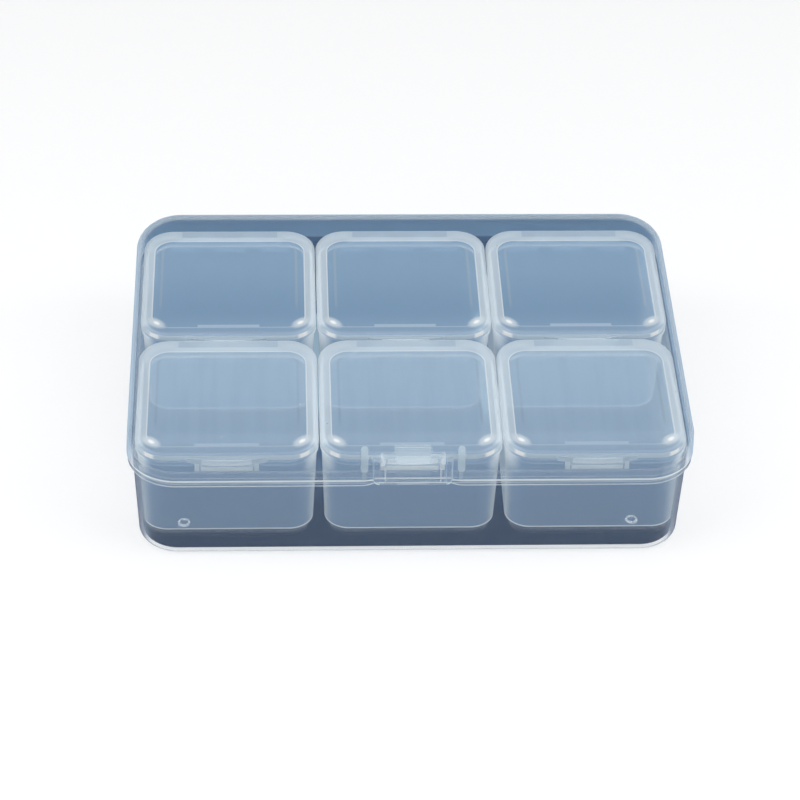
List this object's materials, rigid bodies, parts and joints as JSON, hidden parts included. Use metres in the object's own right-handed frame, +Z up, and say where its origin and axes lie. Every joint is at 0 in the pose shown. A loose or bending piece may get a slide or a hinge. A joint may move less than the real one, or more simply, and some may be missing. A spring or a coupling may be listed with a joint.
{
  "type": "bead organizer",
  "caption": "Clear hinged plastic case with a front snap latch, holding small square boxes in a grid, each box with its own hinged snap lid.",
  "frame": {"origin": "middle of the flat underside of the case, on the surface it stands on (midway between the straight walls, so the latch and the hinge stand out past it)", "axes": "+X to the right along the case's long side as seen from the latch, +Y from the latch towards the hinge, +Z up"},
  "size_m": [0.125, 0.0951, 0.0328],
  "materials": {
    "case_plastic": "clear to slightly milky moulded polypropylene, glossy, fine scuffs",
    "box_plastic": "milky translucent moulded polypropylene, semi-gloss",
    "box_lid_plastic": "milky translucent moulded polypropylene, glossy top"
  },
  "bodies": {
    "case": {"outer_base": "case_plastic", "box_front_left": "box_plastic", "box_front_middle": "box_plastic", "box_front_right": "box_plastic", "box_back_left": "box_plastic", "box_back_middle": "box_plastic", "box_back_right": "box_plastic"},
    "lid": {"outer_lid": "case_plastic"},
    "latch": {"front_latch": "case_plastic"},
    "front_left_lid": {"box_lid_front_left": "box_lid_plastic"},
    "front_middle_lid": {"box_lid_front_middle": "box_lid_plastic"},
    "front_right_lid": {"box_lid_front_right": "box_lid_plastic"},
    "back_left_lid": {"box_lid_back_left": "box_lid_plastic"},
    "back_middle_lid": {"box_lid_back_middle": "box_lid_plastic"},
    "back_right_lid": {"box_lid_back_right": "box_lid_plastic"}
  },
  "joints": [
    {"name": "outer_lid_hinge", "type": "hinge", "parent": "case", "child": "lid", "pos_m": [0, 0.04715, 0.02295], "axis": [-1, 0, 0], "range_deg": [0, 160]},
    {"name": "latch_flex", "type": "hinge", "parent": "lid", "child": "latch", "pos_m": [0, -0.0433, 0.0309], "axis": [-1, 0, 0], "range_deg": [0, 7], "stiffness_Nm_per_rad": 0.05},
    {"name": "front_left_lid_hinge", "type": "hinge", "parent": "case", "child": "front_left_lid", "pos_m": [-0.0404, -0.00235, 0.026], "axis": [-1, 0, 0], "range_deg": [0, 104]},
    {"name": "front_middle_lid_hinge", "type": "hinge", "parent": "case", "child": "front_middle_lid", "pos_m": [0, -0.00235, 0.026], "axis": [-1, 0, 0], "range_deg": [0, 104]},
    {"name": "front_right_lid_hinge", "type": "hinge", "parent": "case", "child": "front_right_lid", "pos_m": [0.0404, -0.00235, 0.026], "axis": [-1, 0, 0], "range_deg": [0, 104]},
    {"name": "back_left_lid_hinge", "type": "hinge", "parent": "case", "child": "back_left_lid", "pos_m": [-0.0404, 0.03985, 0.026], "axis": [-1, 0, 0], "range_deg": [0, 104]},
    {"name": "back_middle_lid_hinge", "type": "hinge", "parent": "case", "child": "back_middle_lid", "pos_m": [0, 0.03985, 0.026], "axis": [-1, 0, 0], "range_deg": [0, 104]},
    {"name": "back_right_lid_hinge", "type": "hinge", "parent": "case", "child": "back_right_lid", "pos_m": [0.0404, 0.03985, 0.026], "axis": [-1, 0, 0], "range_deg": [0, 104]}
  ],
  "couplings": [
    {"joint": "front_left_lid_hinge", "follows": "outer_lid_hinge", "ratio": 0.65},
    {"joint": "front_middle_lid_hinge", "follows": "outer_lid_hinge", "ratio": 0.65},
    {"joint": "front_right_lid_hinge", "follows": "outer_lid_hinge", "ratio": 0.65},
    {"joint": "back_left_lid_hinge", "follows": "outer_lid_hinge", "ratio": 0.65},
    {"joint": "back_middle_lid_hinge", "follows": "outer_lid_hinge", "ratio": 0.65},
    {"joint": "back_right_lid_hinge", "follows": "outer_lid_hinge", "ratio": 0.65}
  ]
}
